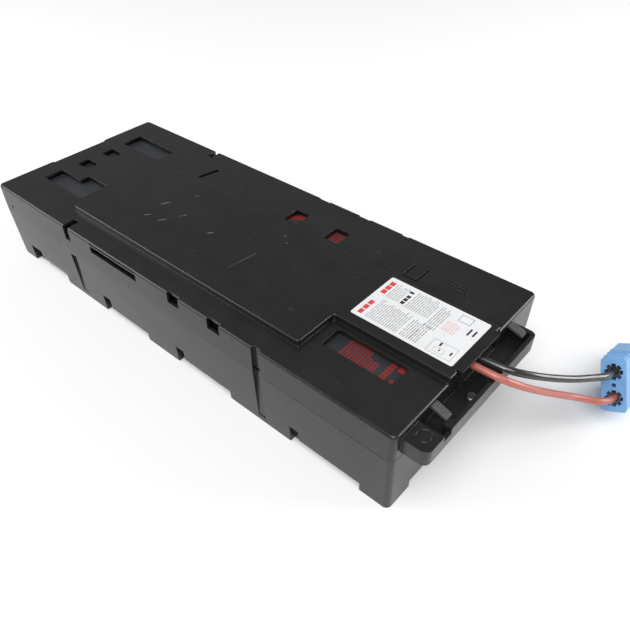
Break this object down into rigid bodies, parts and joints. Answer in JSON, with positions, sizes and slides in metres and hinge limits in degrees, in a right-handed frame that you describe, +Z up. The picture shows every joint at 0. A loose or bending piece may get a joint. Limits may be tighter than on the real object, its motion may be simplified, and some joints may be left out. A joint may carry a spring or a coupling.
{
  "type": "ups battery cartridge",
  "caption": "Black moulded UPS battery cartridge with windowed deck, front shelf, red and black leads and a light blue two-pole connector.",
  "frame": {"origin": "middle of the underside, measured without the leads and connector", "axes": "+X along the length towards the shelf and the leads, +Z up"},
  "size_m": [0.5149, 0.2123, 0.0784],
  "materials": {
    "case_plastic": "satin",
    "battery_plastic": "satin",
    "latch_grey": "matte",
    "screw_steel": "satin",
    "label_film": "satin",
    "terminal_tin": "satin",
    "receptacle_sleeve": "satin",
    "wire_red": "satin",
    "wire_black": "gloss",
    "connector_blue": "satin",
    "contact_tin": "satin",
    "spring_steel": "satin"
  },
  "bodies": {
    "root": {"battery_1": "battery_plastic", "battery_2": "battery_plastic", "battery_3": "battery_plastic", "battery_4": "battery_plastic", "connector_housing": "connector_blue", "contact_negative": "contact_tin", "contact_positive": "contact_tin", "cover": "case_plastic", "label": "label_film", "latch_far": "latch_grey", "latch_near": "latch_grey", "lead_negative": "wire_black", "lead_positive": "wire_red", "link_1_2": "wire_black", "link_2_3": "wire_black", "link_3_4": "wire_black", "receptacle_1_minus": "receptacle_sleeve", "receptacle_1_plus": "receptacle_sleeve", "receptacle_2_minus": "receptacle_sleeve", "receptacle_2_plus": "receptacle_sleeve", "receptacle_3_minus": "receptacle_sleeve", "receptacle_3_plus": "receptacle_sleeve", "receptacle_4_minus": "receptacle_sleeve", "receptacle_4_plus": "receptacle_sleeve", "screw": "screw_steel", "spring_negative": "spring_steel", "spring_positive": "spring_steel", "terminal_1_minus": "terminal_tin", "terminal_1_plus": "terminal_tin", "terminal_2_minus": "terminal_tin", "terminal_2_plus": "terminal_tin", "terminal_3_minus": "terminal_tin", "terminal_3_plus": "terminal_tin", "terminal_4_minus": "terminal_tin", "terminal_4_plus": "terminal_tin", "tray": "case_plastic"}
  },
  "joints": []
}
